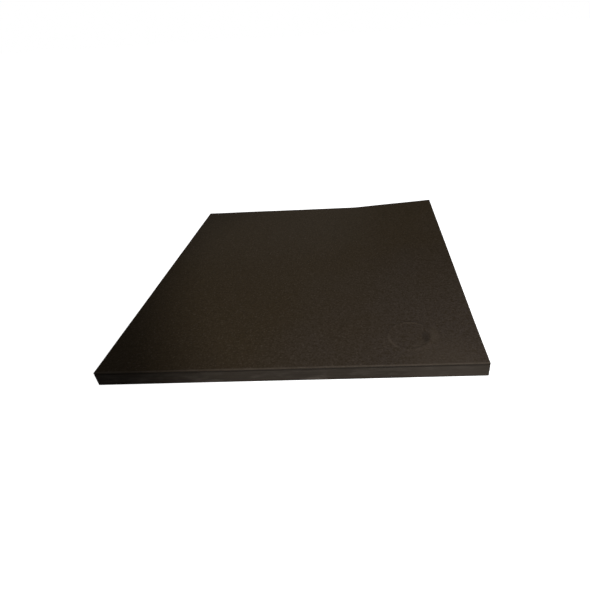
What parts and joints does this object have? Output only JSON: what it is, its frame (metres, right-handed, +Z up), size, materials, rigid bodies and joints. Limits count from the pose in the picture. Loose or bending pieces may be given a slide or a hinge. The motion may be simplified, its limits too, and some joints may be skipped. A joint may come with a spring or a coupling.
{
  "type": "seedling heat mat",
  "caption": "Thick square rubber heat mat with a sealed cover, one curled corner, a sunk cord gland in the side and a snap-disc thermostat inside.",
  "frame": {"origin": "middle of the flat underside, on the bench", "axes": "+Z up out of the tray face, +X to the right towards the side with the cord gland, +Y to the back"},
  "size_m": [0.508, 0.508, 0.033],
  "materials": {
    "cover_rubber": "matt, finely grained",
    "tray_rubber": "matt",
    "seal_strip": "matt",
    "spreader_aluminium": "rolled",
    "film": "clear, slightly yellow",
    "carbon_ink": "printed",
    "copper": "rolled foil",
    "foam": "closed-cell foam",
    "black_plastic": "moulded",
    "grey_plastic": "moulded",
    "pale_plastic": "moulded",
    "soft_rubber": "soft",
    "brass": "stamped",
    "plated_steel": "zinc plated",
    "tinned_copper": "tinned",
    "bimetal": "rolled strip",
    "phenolic": "moulded",
    "ceramic_white": "fired",
    "brown_insulation": "extruded",
    "blue_insulation": "extruded",
    "green_insulation": "extruded"
  },
  "bodies": {
    "mat": {"top_cover": "cover_rubber", "perimeter_seal": "seal_strip", "base_tray": "tray_rubber", "heat_spreader": "spreader_aluminium", "upper_film": "film", "carbon_strips": "carbon_ink", "busbar_left": "copper", "busbar_right": "copper", "lower_film": "film", "foam_core": "foam", "gland_housing": "black_plastic", "gland_gasket": "soft_rubber", "gland_spigot": "black_plastic", "cord_seal": "soft_rubber", "gland_nut": "black_plastic", "terminal_block": "pale_plastic", "terminal_sleeves": "brass", "terminal_screws": "plated_steel", "live_lug": "tinned_copper", "neutral_lug": "tinned_copper", "earth_lug": "tinned_copper", "supply_live_lead": "brown_insulation", "switched_live_lead": "brown_insulation", "neutral_lead": "blue_insulation", "earth_lead": "green_insulation", "puck_cup": "grey_plastic", "puck_lid": "grey_plastic", "puck_screws": "plated_steel", "thermostat_base": "phenolic", "thermostat_body": "phenolic", "thermostat_cap": "spreader_aluminium", "snap_disc": "bimetal", "moving_terminal": "brass", "fixed_terminal": "brass", "tab_connectors": "brass"},
    "push_pin": {"push_pin": "ceramic_white"},
    "contact_arm": {"contact_arm": "bimetal"}
  },
  "joints": [
    {"name": "pin_slide", "type": "slide", "parent": "mat", "child": "push_pin", "axis": [0, 0, -1], "range_m": [0, 0.0005], "deforming": ["snap_disc"]},
    {"name": "arm_bend", "type": "hinge", "parent": "mat", "child": "contact_arm", "pos_m": [0.1596, -0.19575, 0.00788], "axis": [0.5, 0.866, 0], "range_deg": [0, 6.4], "stiffness_Nm_per_rad": 0.008}
  ],
  "couplings": [
    {"joint": "arm_bend", "follows": "pin_slide", "rad_per_m": 222}
  ]
}
